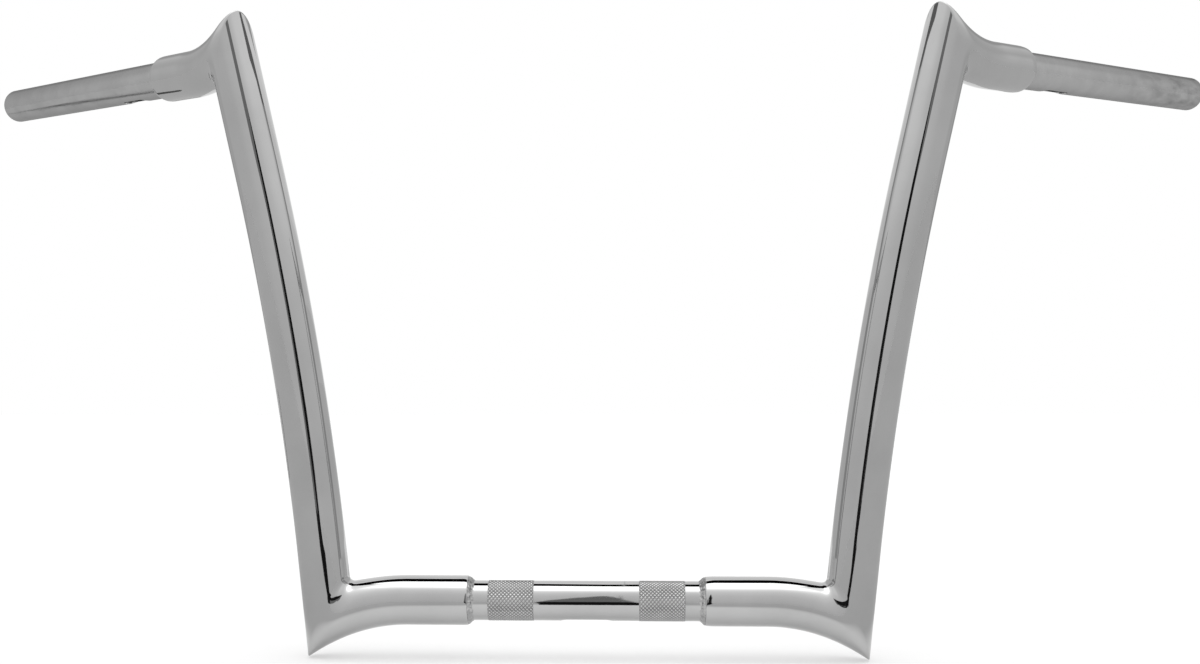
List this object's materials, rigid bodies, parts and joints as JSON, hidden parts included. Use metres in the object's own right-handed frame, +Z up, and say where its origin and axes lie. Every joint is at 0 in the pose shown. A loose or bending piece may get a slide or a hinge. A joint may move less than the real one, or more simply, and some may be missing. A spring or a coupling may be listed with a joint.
{
  "type": "motorcycle handlebar",
  "caption": "Tall chromed steel motorcycle handlebar: mitred uprights rise from a knurled clamp tube and turn back into swept grip tubes, with slots for inside wiring.",
  "frame": {"origin": "middle of the clamp tube, on its axis", "axes": "+X along the clamp tube to the right side of the picture, +Y back to the rider, +Z up the uprights"},
  "size_m": [0.958, 0.2548, 0.421],
  "materials": {
    "arm_chrome": "polished chrome plate on steel tube",
    "clamp_chrome": "polished chrome plate, knurled where the risers clamp",
    "grip_chrome": "thin chrome plate over drawn tube, less polished",
    "weld_chrome": "chrome plate over a weld bead"
  },
  "bodies": {
    "root": {"centre_clamp_tube": "clamp_chrome", "right_lower_arm": "arm_chrome", "right_upright": "arm_chrome", "right_upper_arm": "arm_chrome", "right_grip_tube": "grip_chrome", "right_clamp_weld": "weld_chrome", "right_grip_weld": "weld_chrome", "left_lower_arm": "arm_chrome", "left_upright": "arm_chrome", "left_upper_arm": "arm_chrome", "left_grip_tube": "grip_chrome", "left_clamp_weld": "weld_chrome", "left_grip_weld": "weld_chrome"}
  },
  "joints": []
}
